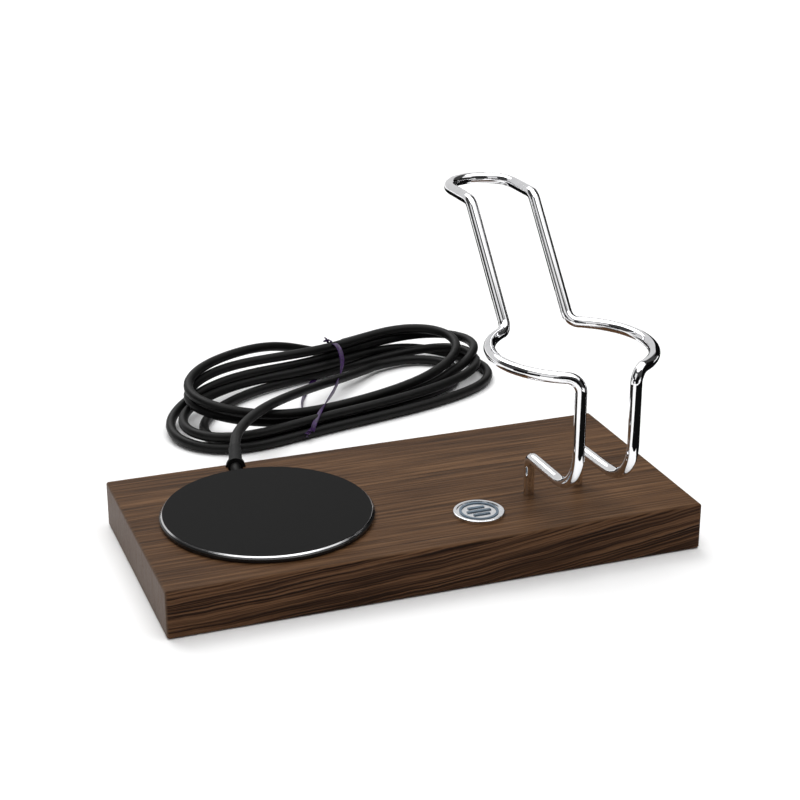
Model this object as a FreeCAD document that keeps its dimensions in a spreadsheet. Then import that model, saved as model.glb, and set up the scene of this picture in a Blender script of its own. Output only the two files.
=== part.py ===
import FreeCAD, Part
import math
import os

import Sketcher
from FreeCAD import Placement, Rotation, Vector

# Bench stand for a hand-held tool: a wooden board with a round rest plate, a bent wire cradle and a
# low-voltage lead. Millimetres. +X runs along the board, +Y to its back, +Z up; the origin is the
# centre of the board's underside, which stands on the bench.

SIZES = {
    "board_length": 240.0,
    "board_width": 114.0,
    "board_height": 21.3,
    "board_round": 1.2,
    "plate_x": -61.7,
    "plate_y": -2.3,
    "plate_radius": 46.4,
    "plate_thick": 2.4,
    "plate_chamfer": 1.1,
    "gasket_thick": 0.5,
    "gasket_radius": 45.0,
    "gasket_bore": 40.5,
    "facing_radius": 45.2,
    "facing_thick": 0.7,
    "facing_proud": 0.1,
    "well_radius": 39.0,
    "well_depth": 12.0,
    "boss_circle": 33.0,
    "boss_radius": 3.5,
    "boss_gap": 0.2,
    "thread_end": 1.0,
    "screw_radius": 1.5,
    "screw_play": 0.1,
    "screw_length": 12.5,
    "head_radius": 2.75,
    "head_height": 2.6,
    "counterbore_radius": 3.4,
    "counterbore_depth": 4.0,
    "heater_radius": 27.5,
    "heater_thick": 1.2,
    "insulator_radius": 28.5,
    "insulator_thick": 1.5,
    "insulator_gap": 0.5,
    "cutout_radius": 6.0,
    "cutout_flange": 1.2,
    "cutout_can": 4.8,
    "cutout_can_radius": 5.0,
    "badge_x": 24.6,
    "badge_y": -32.0,
    "badge_radius": 11.2,
    "badge_thick": 1.5,
    "badge_chamfer": 0.5,
    "badge_recess_radius": 9.8,
    "badge_recess": 0.4,
    "badge_pin_radius": 3.0,
    "badge_pin_length": 5.0,
    "badge_pin_gap": 0.5,
    "inlay_ring": 8.6,
    "inlay_ring_width": 1.1,
    "bar_pitch": 3.4,
    "bar_width": 1.5,
    "bar_long": 11.0,
    "bar_short": 7.5,
    "wire_radius": 2.5,
    "hole_play": 0.05,
    "cradle_x": 65.4,
    "cradle_y": -19.3,
    "cradle_turn": 2.75,
    "post_half": 12.1,
    "post_depth": 15.0,
    "foot_rise": 18.0,
    "foot_reach": 45.9,
    "leg_half": 12.9,
    "ring_height": 91.9,
    "ring_radius": 35.0,
    "ring_centre": -12.8,
    "arm_half": 15.5,
    "arm_lean": 38.0,
    "top_height": 140.9,
    "top_depth": 35.0,
    "foot_bend": 5.0,
    "jay_bend": 19.0,
    "tight_bend": 6.0,
    "lead_radius": 2.5,
    "lead_x": -61.7,
    "lead_y": 49.3,
    "lead_heading": 14.5,
    "lead_climb": 11.3,
    "slot_half": 3.0,
    "slot_start": 30.0,
    "slot_end": 52.5,
    "inner_bend": 8.0,
    "groove_half": 3.4,
    "groove_length": 12.0,
    "sleeve_start": 3.0,
    "sleeve_end": 24.0,
    "sleeve_radius": 2.9,
    "sleeve_foot_radius": 3.3,
    "collar_radius": 4.4,
    "collar_length": 2.0,
    "collar_play": 0.2,
    "clamp_y": 28.5,
    "clamp_length": 7.0,
    "clamp_width": 18.0,
    "clamp_height": 6.6,
    "clamp_screw_half": 6.0,
    "small_screw_radius": 1.2,
    "small_screw_play": 0.2,
    "small_screw_gap": 0.5,
    "small_head_radius": 2.2,
    "small_head_height": 1.4,
    "pilot_depth": 5.0,
    "block_y": 13.5,
    "block_length": 11.0,
    "block_width": 16.0,
    "block_height": 8.0,
    "pole_half": 4.0,
    "pole_well_radius": 1.6,
    "pole_well_depth": 3.0,
    "pole_screw_radius": 1.5,
    "pole_screw_height": 2.2,
    "wire_way_radius": 1.1,
    "hank_x": 27.0,
    "hank_y": 168.0,
    "hank_turn": 17.0,
    "hank_half_length": 102.0,
    "hank_half_width": 46.0,
    "hole_half_length": 64.0,
    "hole_half_width": 23.0,
    "hole_shift": -3.0,
    "hank_front": 12.5,
    "hank_back": 26.0,
    "cut_margin": 1.0,
    "tie_width": 3.2,
    "tie_thick": 0.8,
    "tie_front_x": -52.0,
    "tie_back_x": 30.0,
    "plug_tail_x": 30.0,
    "plug_tail_y": 50.0,
    "plug_turn": 3.0,
    "plug_tail_length": 10.0,
    "plug_tail_radius": 3.2,
    "plug_tail_flare": 0.8,
    "plug_radius": 5.2,
    "plug_length": 24.0,
    "plug_nose": 1.2,
    "barrel_radius": 2.75,
    "barrel_bore": 1.25,
    "barrel_length": 9.5,
    "barrel_collar": 1.6,
    "barrel_collar_rise": 0.9,
}

# The lead's free stretch, from the sleeve's tip over the hank's front turns to its back ones.
LEAD_ROUTE = [
    (-55.7, 72.5, 21.3),
    (-52.6, 84.5, 21.3),
    (-46.0, 97.3, 21.2),
    (-36.8, 110.6, 20.5),
    (-26.0, 124.1, 18.8),
    (-13.6, 137.4, 16.4),
    (0.4, 150.8, 13.6),
    (15.6, 164.4, 10.4),
    (31.4, 177.4, 7.2),
    (47.2, 189.7, 4.8),
    (58.8, 198.0, 3.9),
]
ARC_SHARE = 0.45
# Lengths nearer than this count as equal.
CLOSE = 0.01


doc = FreeCAD.newDocument("bench_stand")
sheet = doc.addObject("Spreadsheet::Sheet", "sizes")


def fill_sheet():
    """Write every driving dimension into the sheet, one aliased cell a row."""
    for row, (alias, value) in enumerate(SIZES.items(), start=1):
        sheet.set(f"A{row}", alias)
        sheet.set(f"B{row}", str(value))
        sheet.setAlias(f"B{row}", alias)
    doc.recompute()


def size(alias):
    """The sheet's value of one driving dimension."""
    return float(sheet.get(alias))


TOP = "sizes.board_height"
WELL_FLOOR = "sizes.board_height - sizes.well_depth"
PLATE_BASE = "sizes.board_height + sizes.gasket_thick"
LEAD_LEVEL = f"{WELL_FLOOR} + sizes.lead_radius"
POLE_FLOOR = f"{WELL_FLOOR} + sizes.block_height - sizes.pole_well_depth"


# ---------------------------------------------------------------- sketches and features


def new_body(label):
    body = doc.addObject("PartDesign::Body", label)
    body.Label = label
    return body


def bind_place(obj, x="0", y="0", z="0"):
    """Bind an object's position to expressions."""
    obj.setExpression("Placement.Base.x", x)
    obj.setExpression("Placement.Base.y", y)
    obj.setExpression("Placement.Base.z", z)


def new_sketch(body, name, height="0", role="XY_Plane"):
    """A sketch on one of the body's own planes, lifted along that plane's normal."""
    plane = next(item for item in body.Origin.OriginFeatures if item.Role == role)
    sketch = body.newObject("Sketcher::SketchObject", name)
    sketch.AttachmentSupport = [(plane, "")]
    sketch.MapMode = "FlatFace"
    sketch.setExpression("AttachmentOffset.Base.z", height)
    return sketch


def bind_last(sketch, expression):
    index = sketch.ConstraintCount - 1
    sketch.setExpression(f"Constraints[{index}]", expression)


def add_circle(sketch, radius, x="0", y="0"):
    """A circle whose centre and radius follow expressions."""
    circle = sketch.addGeometry(Part.Circle(Vector(1, 1, 0), Vector(0, 0, 1), 1), False)
    sketch.addConstraint(Sketcher.Constraint("Radius", circle, 1))
    bind_last(sketch, radius)
    sketch.addConstraint(Sketcher.Constraint("DistanceX", -1, 1, circle, 3, 1))
    bind_last(sketch, x)
    sketch.addConstraint(Sketcher.Constraint("DistanceY", -1, 1, circle, 3, 1))
    bind_last(sketch, y)
    return circle


def add_polygon(sketch, corners):
    """A closed outline through corners given as pairs of expressions."""
    count = len(corners)
    guide = [Vector(math.cos(2 * math.pi * i / count), math.sin(2 * math.pi * i / count), 0)
             for i in range(count)]
    lines = [sketch.addGeometry(Part.LineSegment(guide[i], guide[(i + 1) % count]), False)
             for i in range(count)]
    for i, line in enumerate(lines):
        sketch.addConstraint(Sketcher.Constraint("Coincident", line, 2, lines[(i + 1) % count], 1))
    for line, (x, y) in zip(lines, corners):
        sketch.addConstraint(Sketcher.Constraint("DistanceX", -1, 1, line, 1, 1))
        bind_last(sketch, x)
        sketch.addConstraint(Sketcher.Constraint("DistanceY", -1, 1, line, 1, 1))
        bind_last(sketch, y)


def add_box_outline(sketch, x_low, x_high, y_low, y_high):
    add_polygon(sketch, [(x_low, y_low), (x_high, y_low), (x_high, y_high), (x_low, y_high)])


def extrude(body, kind, sketch, name, length, up=True):
    """A Pad or Pocket of a sketch; up says which way along the sketch's normal it goes."""
    feature = body.newObject(f"PartDesign::{kind}", name)
    feature.Profile = sketch
    feature.setExpression("Length", length)
    natural = kind == "Pad"
    feature.Reversed = natural != up
    doc.recompute()
    return feature


def round_edges(body, kind, name, base, edges, reach):
    """A Fillet or Chamfer on the named edges of a feature."""
    feature = body.newObject(f"PartDesign::{kind}", name)
    feature.Base = (base, edges)
    feature.setExpression("Radius" if kind == "Fillet" else "Size", reach)
    doc.recompute()
    return feature


def rim_at(feature, height, radius):
    """Names of a feature's round edges of one radius at one height."""
    names = []
    for number, edge in enumerate(feature.Shape.Edges, start=1):
        curve = edge.Curve
        if isinstance(curve, Part.Circle) and abs(curve.Radius - radius) < CLOSE:
            if abs(curve.Center.z - height) < CLOSE:
                names.append(f"Edge{number}")
    return names


def drum(label, radius, height, x="0", y="0", z="0"):
    """An upright cylinder bound to the sheet."""
    cylinder = doc.addObject("Part::Cylinder", label)
    cylinder.Label = label
    cylinder.setExpression("Radius", radius)
    cylinder.setExpression("Height", height)
    bind_place(cylinder, x, y, z)
    return cylinder


def block(label, length, width, height, x, y, z):
    """A box bound to the sheet; x and y are its middle, z its underside."""
    box = doc.addObject("Part::Box", label)
    box.Label = label
    box.setExpression("Length", length)
    box.setExpression("Width", width)
    box.setExpression("Height", height)
    bind_place(box, f"{x} - ({length}) / 2", f"{y} - ({width}) / 2", z)
    return box


def cut(label, base, tools):
    """Base less every tool."""
    tool = tools[0]
    if len(tools) > 1:
        tool = doc.addObject("Part::MultiFuse", f"{label}_tools")
        tool.Shapes = tools
    result = doc.addObject("Part::Cut", label)
    result.Label = label
    result.Base = base
    result.Tool = tool
    return result


def group(label, members):
    """Separate solids that share one node."""
    compound = doc.addObject("Part::Compound", label)
    compound.Label = label
    compound.Links = members
    return compound


# ---------------------------------------------------------------- places that repeat


BOSS_ANGLES = (30, 150, 270)


def boss_place(angle):
    """Expressions for one plate screw's place, about the plate's own centre."""
    return (f"sizes.boss_circle * cos({angle} deg)", f"sizes.boss_circle * sin({angle} deg)")


def post_place(side):
    """Expressions for one post hole's place on the board."""
    return (f"sizes.cradle_x + {side} * sizes.post_half * cos(sizes.cradle_turn * 1 deg)",
            f"sizes.cradle_y + {side} * sizes.post_half * sin(sizes.cradle_turn * 1 deg)")


def along_lead(start, end, half):
    """Corners of a strip along the lead where it leaves the board, from start to end."""
    heading = "sizes.lead_heading * 1 deg"
    corners = []
    for reach, side in ((start, -1), (start, 1), (end, 1), (end, -1)):
        x = f"sizes.lead_x + ({reach}) * sin({heading}) + {side} * ({half}) * cos({heading})"
        y = f"sizes.lead_y + ({reach}) * cos({heading}) - {side} * ({half}) * sin({heading})"
        corners.append((x, y))
    return corners


# ---------------------------------------------------------------- board


def make_board():
    body = new_body("base_board")
    outline = new_sketch(body, "board_outline")
    add_box_outline(outline, "-sizes.board_length / 2", "sizes.board_length / 2",
                    "-sizes.board_width / 2", "sizes.board_width / 2")
    plank = extrude(body, "Pad", outline, "plank", "sizes.board_height")
    every_edge = [f"Edge{number}" for number in range(1, len(plank.Shape.Edges) + 1)]
    round_edges(body, "Fillet", "eased_edges", plank, every_edge, "sizes.board_round")
    cut_plate_well(body)
    cut_lead_slot(body)
    cut_post_holes(body)
    cut_badge_hole(body)
    cut_screw_holes(body)
    return body


def cut_plate_well(body):
    well = new_sketch(body, "well_outline", TOP)
    add_circle(well, "sizes.well_radius", "sizes.plate_x", "sizes.plate_y")
    extrude(body, "Pocket", well, "plate_well", "sizes.well_depth", up=False)


def cut_lead_slot(body):
    """A deep slot from the well, then a shallow groove out through the board's back edge."""
    run = new_sketch(body, "slot_outline", TOP)
    add_box_outline(run, "sizes.lead_x - sizes.slot_half", "sizes.lead_x + sizes.slot_half",
                    "sizes.slot_start", "sizes.slot_end")
    extrude(body, "Pocket", run, "lead_slot", "sizes.well_depth", up=False)
    groove = new_sketch(body, "groove_outline", TOP)
    add_polygon(groove, along_lead("0", "sizes.groove_length", "sizes.groove_half"))
    extrude(body, "Pocket", groove, "lead_groove", "sizes.groove_half", up=False)
    seat = new_sketch(body, "collar_seat_outline", TOP)
    add_polygon(seat, along_lead("sizes.sleeve_start - sizes.collar_play",
                                 "sizes.sleeve_start + sizes.collar_length + sizes.collar_play",
                                 "sizes.collar_radius + sizes.collar_play"))
    extrude(body, "Pocket", seat, "collar_seat", "sizes.collar_radius + sizes.collar_play", up=False)


def cut_post_holes(body):
    holes = new_sketch(body, "post_hole_outline", TOP)
    for side in (-1, 1):
        add_circle(holes, "sizes.wire_radius + sizes.hole_play", *post_place(side))
    extrude(body, "Pocket", holes, "post_holes", "sizes.post_depth", up=False)


def cut_badge_hole(body):
    hole = new_sketch(body, "badge_hole_outline", TOP)
    add_circle(hole, "sizes.badge_pin_radius", "sizes.badge_x", "sizes.badge_y")
    extrude(body, "Pocket", hole, "badge_hole", "sizes.badge_pin_length + sizes.badge_pin_gap", up=False)


def cut_screw_holes(body):
    """Counterbored holes for the plate screws, and pilots for the clamp screws."""
    for name, radius, depth in (
            ("counterbores", "sizes.counterbore_radius", "sizes.counterbore_depth"),
            ("screw_ways", "sizes.screw_radius + 2 * sizes.screw_play", WELL_FLOOR)):
        holes = new_sketch(body, f"{name}_outline")
        for angle in BOSS_ANGLES:
            x, y = boss_place(angle)
            add_circle(holes, radius, f"sizes.plate_x + {x}", f"sizes.plate_y + {y}")
        extrude(body, "Pocket", holes, name, depth, up=True)
    pilots = new_sketch(body, "pilot_outline", WELL_FLOOR)
    for side in (-1, 1):
        add_circle(pilots, "sizes.small_screw_radius",
                   f"sizes.lead_x + {side} * sizes.clamp_screw_half", "sizes.clamp_y")
    extrude(body, "Pocket", pilots, "clamp_pilots", "sizes.pilot_depth", up=False)


# ---------------------------------------------------------------- rest plate and what is under it


def make_rest_plate():
    body = new_body("rest_plate")
    bind_place(body, "sizes.plate_x", "sizes.plate_y", PLATE_BASE)
    outline = new_sketch(body, "plate_outline")
    add_circle(outline, "sizes.plate_radius")
    disc = extrude(body, "Pad", outline, "disc", "sizes.plate_thick")
    rim = rim_at(disc, size("plate_thick"), size("plate_radius"))
    round_edges(body, "Chamfer", "polished_rim", disc, rim, "sizes.plate_chamfer")
    recess = new_sketch(body, "recess_outline", "sizes.plate_thick")
    add_circle(recess, "sizes.facing_radius")
    extrude(body, "Pocket", recess, "facing_recess", "sizes.facing_thick - sizes.facing_proud",
            up=False)
    bosses = new_sketch(body, "boss_outline")
    for angle in BOSS_ANGLES:
        add_circle(bosses, "sizes.boss_radius", *boss_place(angle))
    depth = "sizes.well_depth + sizes.gasket_thick - sizes.boss_gap"
    extrude(body, "Pad", bosses, "bosses", depth, up=False)
    threads = new_sketch(body, "thread_outline", f"-({depth})")
    for angle in BOSS_ANGLES:
        add_circle(threads, "sizes.screw_radius + sizes.screw_play", *boss_place(angle))
    extrude(body, "Pocket", threads, "boss_threads", f"{depth} - sizes.thread_end", up=True)
    return body


def make_plate_facing():
    return drum("plate_facing", "sizes.facing_radius", "sizes.facing_thick", "sizes.plate_x",
                "sizes.plate_y",
                f"{PLATE_BASE} + sizes.plate_thick + sizes.facing_proud - sizes.facing_thick")


def make_gasket():
    spot = ("sizes.plate_x", "sizes.plate_y", TOP)
    outer = drum("gasket_outer", "sizes.gasket_radius", "sizes.gasket_thick", *spot)
    inner = drum("gasket_inner", "sizes.gasket_bore", "sizes.gasket_thick", *spot)
    return cut("plate_gasket", outer, [inner])


def make_heater():
    return drum("film_heater", "sizes.heater_radius", "sizes.heater_thick", "sizes.plate_x",
                "sizes.plate_y", f"{PLATE_BASE} - sizes.heater_thick")


def make_insulator():
    level = f"{PLATE_BASE} - sizes.heater_thick - sizes.insulator_thick"
    spot = ("sizes.plate_x", "sizes.plate_y", level)
    disc = drum("insulator_disc", "sizes.insulator_radius", "sizes.insulator_thick", *spot)
    hole = drum("insulator_hole", "sizes.cutout_radius + sizes.insulator_gap",
                "sizes.insulator_thick", *spot)
    return cut("insulator", disc, [hole])


def make_thermal_cutout():
    """A button thermostat: flange against the heater, can hanging below it."""
    spot = ("sizes.plate_x", "sizes.plate_y")
    level = f"{PLATE_BASE} - sizes.heater_thick - sizes.cutout_flange"
    flange = drum("cutout_flange_disc", "sizes.cutout_radius", "sizes.cutout_flange", *spot, level)
    can = drum("cutout_can_disc", "sizes.cutout_can_radius", "sizes.cutout_can", *spot,
               f"{level} - sizes.cutout_can")
    button = doc.addObject("Part::MultiFuse", "thermal_cutout")
    button.Label = "thermal_cutout"
    button.Shapes = [flange, can]
    return button


def make_plate_screws():
    """Pan-head screws that come up through the board into the plate's bosses."""
    screws = []
    for number, angle in enumerate(BOSS_ANGLES, start=1):
        x, y = boss_place(angle)
        spot = (f"sizes.plate_x + {x}", f"sizes.plate_y + {y}")
        head = drum(f"screw_head_{number}", "sizes.head_radius", "sizes.head_height", *spot,
                    "sizes.counterbore_depth - sizes.head_height")
        shank = drum(f"screw_shank_{number}", "sizes.screw_radius", "sizes.screw_length", *spot,
                     "sizes.counterbore_depth")
        screw = doc.addObject("Part::MultiFuse", f"plate_screw_{number}")
        screw.Shapes = [head, shank]
        screws.append(screw)
    return group("plate_screws", screws)


def make_terminal_block():
    """Two-pole block at the end of the lead, with wire ways along Y and screw wells from above."""
    body = block("block_solid", "sizes.block_width", "sizes.block_length", "sizes.block_height",
                 "sizes.lead_x", "sizes.block_y", WELL_FLOOR)
    tools = []
    for name, side in (("left", -1), ("right", 1)):
        x = f"sizes.lead_x + {side} * sizes.pole_half"
        well = drum(f"pole_well_{name}", "sizes.pole_well_radius", "sizes.pole_well_depth", x,
                    "sizes.block_y", POLE_FLOOR)
        way = drum(f"wire_way_{name}", "sizes.wire_way_radius", "sizes.block_length", x,
                   "sizes.block_y + sizes.block_length / 2", LEAD_LEVEL)
        way.Placement.Rotation = Rotation(Vector(1, 0, 0), 90)
        tools += [well, way]
    return cut("terminal_block", body, tools)


def make_terminal_screws():
    screws = []
    for name, side in (("left", -1), ("right", 1)):
        x = f"sizes.lead_x + {side} * sizes.pole_half"
        screws.append(drum(f"pole_screw_{name}", "sizes.pole_screw_radius",
                           "sizes.pole_screw_height", x, "sizes.block_y", POLE_FLOOR))
    return group("terminal_screws", screws)


def make_cord_clamp():
    """A saddle over the lead, held to the well's floor by two screws."""
    body = block("clamp_solid", "sizes.clamp_width", "sizes.clamp_length", "sizes.clamp_height",
                 "sizes.lead_x", "sizes.clamp_y", WELL_FLOOR)
    arch = drum("clamp_arch", "sizes.lead_radius", "sizes.clamp_length", "sizes.lead_x",
                "sizes.clamp_y + sizes.clamp_length / 2", LEAD_LEVEL)
    arch.Placement.Rotation = Rotation(Vector(1, 0, 0), 90)
    below = block("clamp_way", "2 * sizes.lead_radius", "sizes.clamp_length", "sizes.lead_radius",
                  "sizes.lead_x", "sizes.clamp_y", WELL_FLOOR)
    tools = [arch, below]
    for name, side in (("left", -1), ("right", 1)):
        tools.append(drum(f"clamp_hole_{name}", "sizes.small_screw_radius + sizes.small_screw_play",
                          "sizes.clamp_height",
                          f"sizes.lead_x + {side} * sizes.clamp_screw_half", "sizes.clamp_y",
                          WELL_FLOOR))
    return cut("cord_clamp", body, tools)


def make_clamp_screws():
    screws = []
    for name, side in (("left", -1), ("right", 1)):
        spot = (f"sizes.lead_x + {side} * sizes.clamp_screw_half", "sizes.clamp_y")
        head = drum(f"clamp_head_{name}", "sizes.small_head_radius", "sizes.small_head_height", *spot,
                    f"{WELL_FLOOR} + sizes.clamp_height")
        shank = drum(f"clamp_shank_{name}", "sizes.small_screw_radius",
                     "sizes.clamp_height + sizes.pilot_depth - sizes.small_screw_gap", *spot,
                     f"{WELL_FLOOR} - sizes.pilot_depth + sizes.small_screw_gap")
        screw = doc.addObject("Part::MultiFuse", f"clamp_screw_{name}")
        screw.Shapes = [head, shank]
        screws.append(screw)
    return group("clamp_screws", screws)


# ---------------------------------------------------------------- badge


def make_badge():
    body = new_body("badge_disc")
    bind_place(body, "sizes.badge_x", "sizes.badge_y", TOP)
    outline = new_sketch(body, "badge_outline")
    add_circle(outline, "sizes.badge_radius")
    disc = extrude(body, "Pad", outline, "badge_blank", "sizes.badge_thick")
    rim = rim_at(disc, size("badge_thick"), size("badge_radius"))
    round_edges(body, "Fillet", "badge_rim", disc, rim, "sizes.badge_chamfer")
    recess = new_sketch(body, "badge_recess_outline", "sizes.badge_thick")
    add_circle(recess, "sizes.badge_recess_radius")
    extrude(body, "Pocket", recess, "badge_recess", "sizes.badge_recess", up=False)
    pin = new_sketch(body, "badge_pin_outline")
    add_circle(pin, "sizes.badge_pin_radius")
    extrude(body, "Pad", pin, "badge_pin", "sizes.badge_pin_length", up=False)
    return body


def make_badge_inlay():
    """A plain ring round three parallel bars, lying on the badge's recessed floor."""
    level = f"{TOP} + sizes.badge_thick - sizes.badge_recess"
    spot = ("sizes.badge_x", "sizes.badge_y", level)
    outer = drum("inlay_outer", "sizes.inlay_ring", "sizes.badge_recess", *spot)
    inner = drum("inlay_inner", "sizes.inlay_ring - sizes.inlay_ring_width",
                 "sizes.badge_recess", *spot)
    members = [cut("inlay_ring_solid", outer, [inner])]
    for name, side, length in (("front", -1, "bar_short"), ("middle", 0, "bar_long"),
                               ("back", 1, "bar_short")):
        members.append(block(f"inlay_bar_{name}", f"sizes.{length}", "sizes.bar_width",
                             "sizes.badge_recess", "sizes.badge_x",
                             f"sizes.badge_y + {side} * sizes.bar_pitch", level))
    return group("badge_inlay", members)


# ---------------------------------------------------------------- paths of wire and cable


def corner_arc(before, corner, after, radius):
    """Start, middle and end of the arc that rounds a corner between two straight runs."""
    into = (corner - before).normalize()
    away = (after - corner).normalize()
    half = into.getAngle(away) / 2
    reach = radius * math.tan(half)
    start = corner - into * reach
    end = corner + away * reach
    inward = (away - into).normalize()
    middle = corner + inward * (radius / math.cos(half) - radius)
    return start, middle, end


def join_runs(start, bends, end):
    """Straight edges and arcs from start, through the arcs given, to end."""
    edges = []
    here = start
    for first, middle, last in bends:
        if here.distanceToPoint(first) > CLOSE:
            edges.append(Part.LineSegment(here, first).toShape())
        edges.append(Part.Arc(first, middle, last).toShape())
        here = last
    if here.distanceToPoint(end) > CLOSE:
        edges.append(Part.LineSegment(here, end).toShape())
    return edges


def cradle_half(side):
    """Bends of one side of the cradle, from its post to the loop's middle, in the cradle's frame."""
    top = size("board_height")
    foot_level = top + size("foot_rise")
    ring_level = size("ring_height")
    reach = size("ring_radius")
    tight = size("tight_bend")
    centre = size("ring_centre")
    front = math.asin(size("leg_half") / math.hypot(reach, tight)) + math.atan2(tight, reach)
    leg_y = centre - reach * math.cos(front) - tight * math.sin(front)
    post_top = Vector(side * size("post_half"), 0, foot_level)
    post_end = Vector(post_top.x, 0, top - size("post_depth"))
    jay = Vector(side * size("leg_half"), leg_y, foot_level)
    leg_top = Vector(jay.x, leg_y, ring_level)
    ring_start = Vector(side * reach * math.sin(front), centre - reach * math.cos(front), ring_level)
    ring_side = Vector(side * reach, centre, ring_level)
    lean = math.radians(size("arm_lean"))
    rise = Vector(0, math.sin(lean), math.cos(lean))
    # The ring's arc ends where a tight bend's own tangent brings it to the arm's width.
    ring_end, arm_foot = ring_exit(side, reach, centre, ring_level, rise, tight)
    arm_top = arm_foot + rise * ((size("top_height") - ring_level) / rise.z)
    loop_half = size("arm_half")
    loop_back = arm_top.y + size("top_depth")
    loop_start = Vector(arm_top.x, loop_back - loop_half, arm_top.z)
    loop_corner = Vector(arm_top.x, loop_back, arm_top.z)
    loop_middle = Vector(0, loop_back, arm_top.z)
    return post_end, [
        corner_arc(post_end, post_top, jay, size("foot_bend")),
        corner_arc(post_top, jay, leg_top, size("jay_bend")),
        corner_arc(jay, leg_top, ring_start, tight),
        (ring_start, ring_side, ring_end),
        corner_arc(ring_end, arm_foot, arm_top, tight),
        corner_arc(arm_foot, arm_top, loop_start, tight),
        corner_arc(loop_start, loop_corner, loop_middle, loop_half),
    ], loop_middle


def ring_exit(side, reach, centre, level, rise, bend):
    """Where the ring's arc ends and the corner at which the arm leaves it."""
    low, high = 0.0, math.pi / 2
    for _ in range(60):
        angle = (low + high) / 2
        heading = Vector(-side * math.sin(angle), math.cos(angle), 0)
        end = Vector(side * reach * math.cos(angle), centre + reach * math.sin(angle), level)
        corner = end + heading * (bend * math.tan(heading.getAngle(rise) / 2))
        if abs(corner.x) > size("arm_half"):
            low = angle
        else:
            high = angle
    return end, corner


def swept_rod(label, edges, radius, start, along):
    """A round rod along a path of edges."""
    path = doc.addObject("Part::Feature", f"{label}_path")
    path.Shape = Part.Wire(edges)
    profile = doc.addObject("Part::Circle", f"{label}_profile")
    profile.setExpression("Radius", radius)
    profile.Placement = Placement(start, Rotation(Vector(0, 0, 1), along))
    rod = doc.addObject("Part::Sweep", label)
    rod.Label = label
    rod.Sections = [profile]
    rod.Spine = (path, [f"Edge{number}" for number in range(1, len(edges) + 1)])
    rod.Solid = True
    rod.Frenet = False
    doc.recompute()
    return rod, path.Shape.Length


def make_cradle():
    """One wire from the left post round to the right post, mirrored about the cradle's middle."""
    left_start, left_bends, _ = cradle_half(-1)
    right_start, right_bends, _ = cradle_half(1)
    returning = [(last, middle, first) for first, middle, last in reversed(right_bends)]
    edges = join_runs(left_start, left_bends + returning, right_start)
    stand = Placement(Vector(size("cradle_x"), size("cradle_y"), 0),
                      Rotation(Vector(0, 0, 1), size("cradle_turn")))
    placed = [edge.transformed(stand.toMatrix()) for edge in edges]
    rod, length = swept_rod("wire_cradle", placed, "sizes.wire_radius",
                            stand.multVec(left_start), Vector(0, 0, 1))
    report_rod("wire_cradle", rod, length, size("wire_radius"))
    return rod


def report_rod(label, rod, length, radius):
    ideal = math.pi * radius ** 2 * length
    print(f"{label}: path {length:.1f} mm, volume {rod.Shape.Volume:.0f} of {ideal:.0f} mm3")


def make_lead_tube():
    """The lead's free stretch, each corner rounded by as large an arc as its runs allow."""
    points = [Vector(*point) for point in LEAD_ROUTE]
    bends = []
    radii = []
    for before, corner, after in zip(points, points[1:], points[2:]):
        into = corner - before
        away = after - corner
        shorter = min(into.Length, away.Length)
        radius = ARC_SHARE * shorter / math.tan(into.getAngle(away) / 2)
        radii.append(round(radius, 1))
        bends.append(corner_arc(before, corner, after, radius))
    edges = join_runs(points[0], bends, points[-1])
    tube, length = swept_rod("lead_tube", edges, "sizes.lead_radius", points[0],
                             points[1] - points[0])
    print("lead_tube radii:", radii)
    report_rod("lead_tube", tube, length, size("lead_radius"))
    return tube


def make_inner_lead():
    """The lead inside the sleeve and the board, down the slot to the terminal block."""
    level = size("board_height") - size("well_depth") + size("lead_radius")
    mouth = Vector(*LEAD_ROUTE[0])
    crest = Vector(size("lead_x"), size("lead_y"), size("board_height"))
    dip = Vector(size("lead_x"), size("lead_y") - size("lead_climb"), level)
    end = Vector(size("lead_x"), size("block_y") + size("block_length") / 2, level)
    bend = size("inner_bend")
    bends = [corner_arc(mouth, crest, dip, bend), corner_arc(crest, dip, end, bend)]
    rod, _ = swept_rod("inner_lead", join_runs(mouth, bends, end), "sizes.lead_radius", mouth,
                       crest - mouth)
    return rod


# ---------------------------------------------------------------- sleeve, hank, tie and plug


def make_sleeve(inner_lead):
    """A tapered strain relief round the lead, with a collar that sits in the board's seat."""
    heading = math.radians(size("lead_heading"))
    along = Vector(math.sin(heading), math.cos(heading), 0)
    crest = Vector(size("lead_x"), size("lead_y"), size("board_height"))
    start = Placement(crest + along * size("sleeve_start"), Rotation(Vector(0, 0, 1), along))
    taper = doc.addObject("Part::Cone", "sleeve_taper")
    taper.setExpression("Radius1", "sizes.sleeve_foot_radius")
    taper.setExpression("Radius2", "sizes.sleeve_radius")
    taper.setExpression("Height", "sizes.sleeve_end - sizes.sleeve_start")
    taper.Placement = start
    collar = doc.addObject("Part::Cylinder", "sleeve_collar")
    collar.setExpression("Radius", "sizes.collar_radius")
    collar.setExpression("Height", "sizes.collar_length")
    collar.Placement = start
    outside = doc.addObject("Part::MultiFuse", "sleeve_outside")
    outside.Shapes = [taper, collar]
    return cut("cord_sleeve", outside, [inner_lead])


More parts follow.
